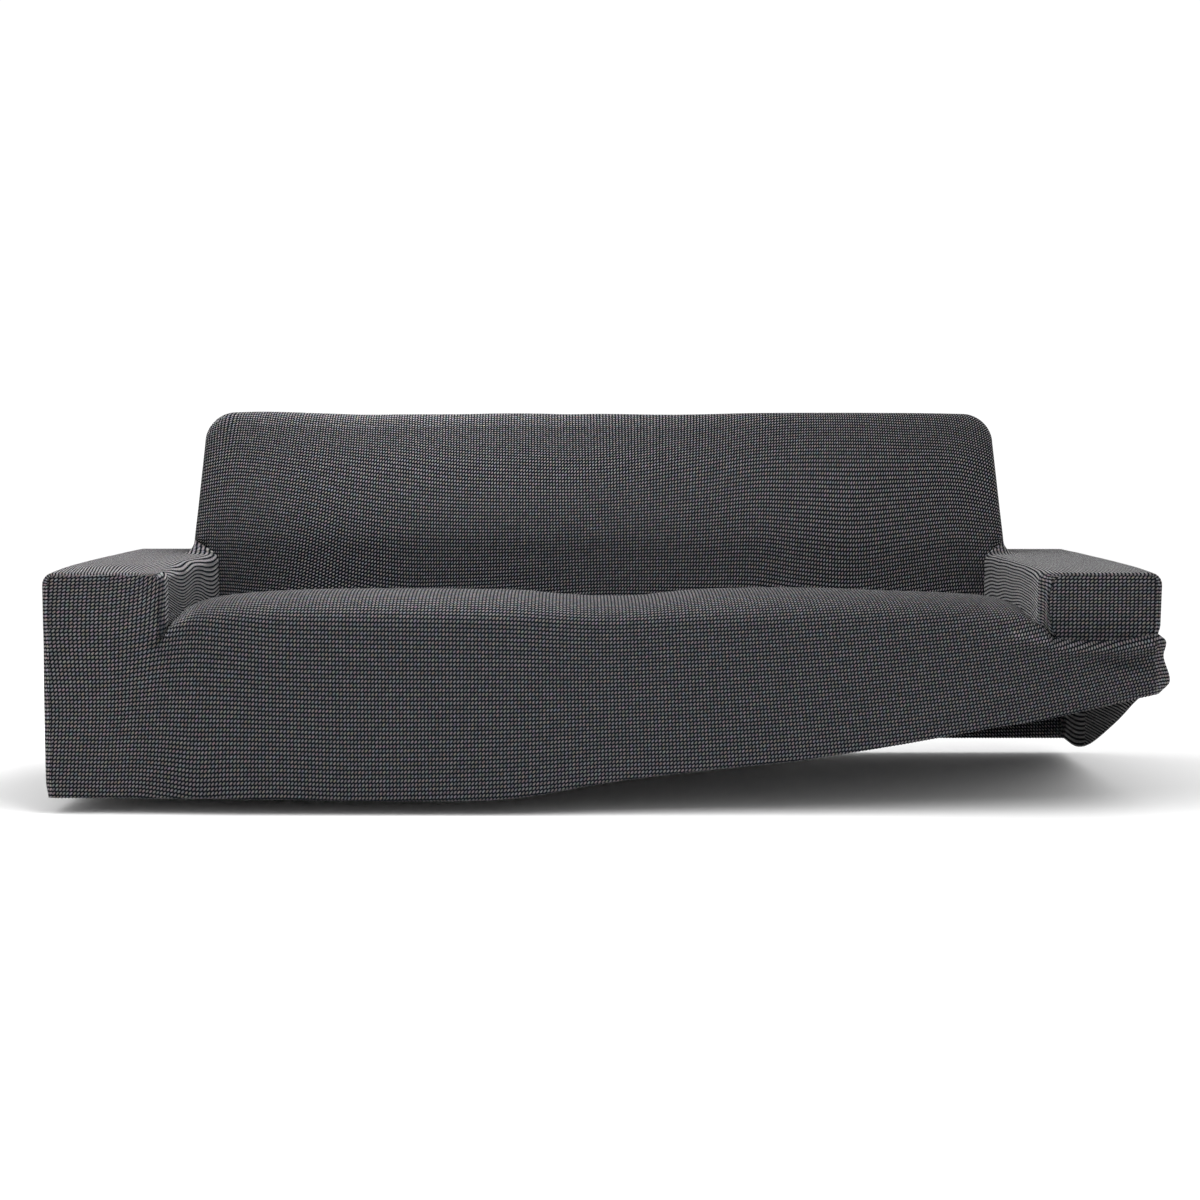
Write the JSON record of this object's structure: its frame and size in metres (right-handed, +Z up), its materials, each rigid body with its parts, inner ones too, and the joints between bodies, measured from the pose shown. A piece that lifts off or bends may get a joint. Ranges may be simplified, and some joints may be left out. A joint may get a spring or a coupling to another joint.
{
  "type": "sofa slipcover",
  "caption": "Stretch slipcover in waffle knit for a wide sofa with arms: hollow, sewn from fitted panels, its front hem pulled up at one corner.",
  "frame": {"origin": "under the cloth along the top edge of the cover's back, halfway along it, where the sofa's back holds it up", "axes": "+X to the right as seen from in front, +Y from the front to the rear, +Z up"},
  "size_m": [2.2742, 0.8881, 0.7863],
  "materials": {
    "front_and_seat_panel_knit": "matt knit",
    "left_arm_panel_knit": "matt knit",
    "right_arm_panel_knit": "matt knit",
    "inside_back_panel_knit": "matt knit",
    "outside_back_panel_knit": "matt knit"
  },
  "bodies": {
    "root": {"front_and_seat_panel": "front_and_seat_panel_knit", "left_arm_panel": "left_arm_panel_knit", "right_arm_panel": "right_arm_panel_knit", "inside_back_panel": "inside_back_panel_knit", "outside_back_panel": "outside_back_panel_knit"}
  },
  "joints": []
}
